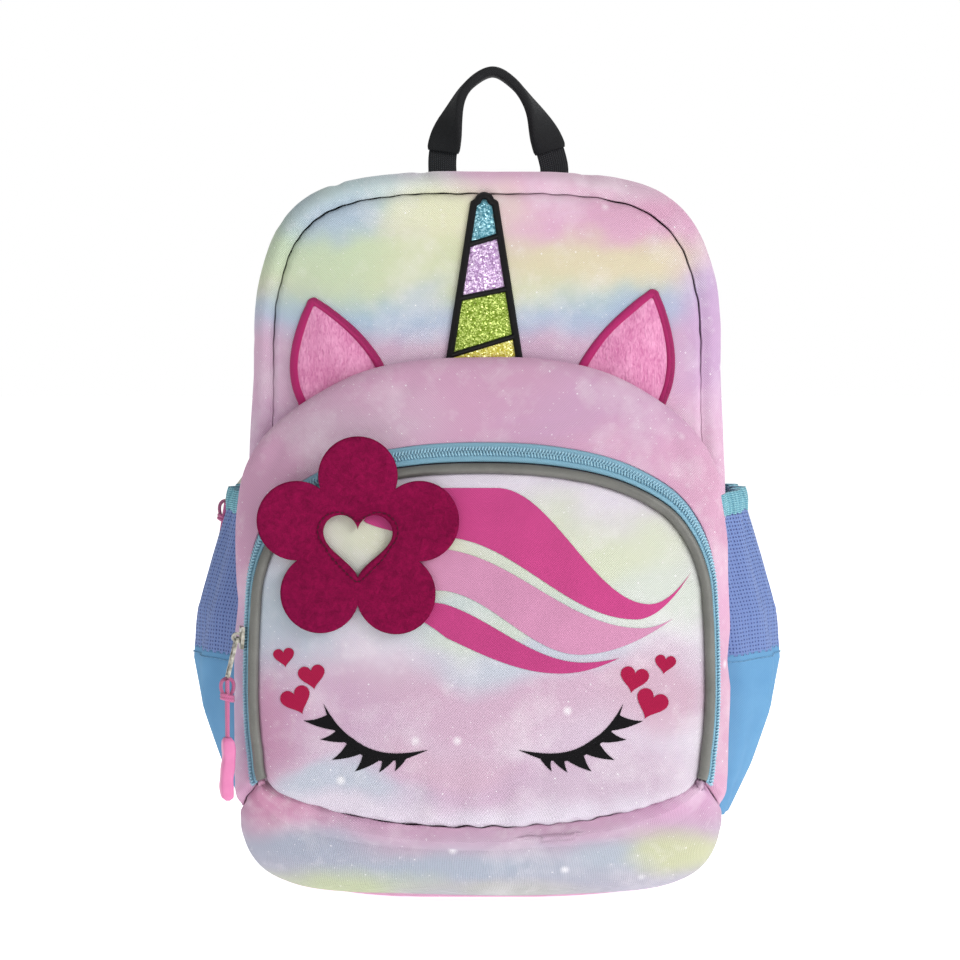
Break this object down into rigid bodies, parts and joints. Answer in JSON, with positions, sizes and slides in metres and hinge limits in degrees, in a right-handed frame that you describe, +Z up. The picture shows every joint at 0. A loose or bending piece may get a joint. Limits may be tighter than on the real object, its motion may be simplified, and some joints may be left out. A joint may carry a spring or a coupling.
{
  "type": "backpack",
  "caption": "Child's backpack with a domed front pocket, ears and horn, side mesh pockets, carry handle, padded straps and swinging zip pulls.",
  "frame": {"origin": "on the floor under the middle of the bag's base", "axes": "+Z up, -Y the front with the pocket, +X the right side as seen from the front"},
  "size_m": [0.3254, 0.2116, 0.4605],
  "materials": {
    "cloth_pink": "printed woven polyester, satin",
    "cloth_face": "printed woven polyester, satin",
    "cloth_base": "printed woven polyester, satin",
    "back_padding": "padded air mesh, matt",
    "zip_tape": "woven tape with a nylon coil",
    "reflective": "reflective tape, satin",
    "side_mesh": "perforated mesh, matt",
    "side_cloth": "woven polyester, satin",
    "elastic": "ribbed elastic binding",
    "webbing": "woven webbing, matt",
    "sleeve": "smooth coated sleeve, matt",
    "strap_padding": "padded woven cloth, matt",
    "felt": "needled felt, matt",
    "ear_stitching": "satin stitch",
    "plush": "short pile plush",
    "horn_stitching": "satin stitch",
    "glitter_gold": "glitter cloth",
    "glitter_green": "glitter cloth",
    "glitter_lilac": "glitter cloth",
    "glitter_teal": "glitter cloth",
    "lock_plastic": "moulded, satin",
    "zip_metal": "antique nickel plate",
    "pull_cord": "braided cord",
    "pull_grip": "soft moulded, satin"
  },
  "bodies": {
    "bag": {"front_panel": "cloth_pink", "back_panel": "back_padding", "top_gusset_front": "cloth_pink", "top_gusset_back": "cloth_pink", "main_zip": "zip_tape", "side_panel_right": "cloth_pink", "side_panel_left": "cloth_pink", "base_panel": "cloth_base", "pocket_gusset": "cloth_pink", "pocket_zip": "zip_tape", "lower_band": "cloth_base", "pocket_face": "cloth_face", "reflective_piping": "reflective", "horn_outline": "horn_stitching", "horn_glitter_1": "glitter_gold", "horn_glitter_2": "glitter_green", "horn_glitter_3": "glitter_lilac", "horn_glitter_4": "glitter_teal", "felt_flower": "felt", "handle_webbing": "webbing", "handle_sleeve": "sleeve", "ear_trim_right": "ear_stitching", "ear_plush_right": "plush", "side_pocket_base_right": "side_cloth", "side_pocket_mesh_right": "side_mesh", "side_pocket_binding_right": "elastic", "shoulder_strap_right": "strap_padding", "strap_webbing_right": "webbing", "ladder_lock_right": "lock_plastic", "ear_trim_left": "ear_stitching", "ear_plush_left": "plush", "side_pocket_base_left": "side_cloth", "side_pocket_mesh_left": "side_mesh", "side_pocket_binding_left": "elastic", "shoulder_strap_left": "strap_padding", "strap_webbing_left": "webbing", "ladder_lock_left": "lock_plastic", "front_pull_slider": "zip_metal", "main_pull_slider": "zip_metal"},
    "front_pull": {"front_pull_tab": "zip_metal", "front_pull_cord_a": "pull_cord", "front_pull_cord_b": "pull_cord", "front_pull_grip": "pull_grip"},
    "main_pull": {"main_pull_tab": "zip_metal", "main_pull_cord_a": "pull_cord", "main_pull_cord_b": "pull_cord", "main_pull_grip": "pull_grip"}
  },
  "joints": [
    {"name": "front_pull_swing", "type": "hinge", "parent": "bag", "child": "front_pull", "pos_m": [-0.1345, -0.08704, 0.14823], "axis": [-0.2179, 0.9759, 0.0068], "range_deg": [0, 140]},
    {"name": "main_pull_swing", "type": "hinge", "parent": "bag", "child": "main_pull", "pos_m": [-0.13434, 0.03513, 0.23208], "axis": [0.14, 0.9901, -0.0044], "range_deg": [0, 110]}
  ]
}
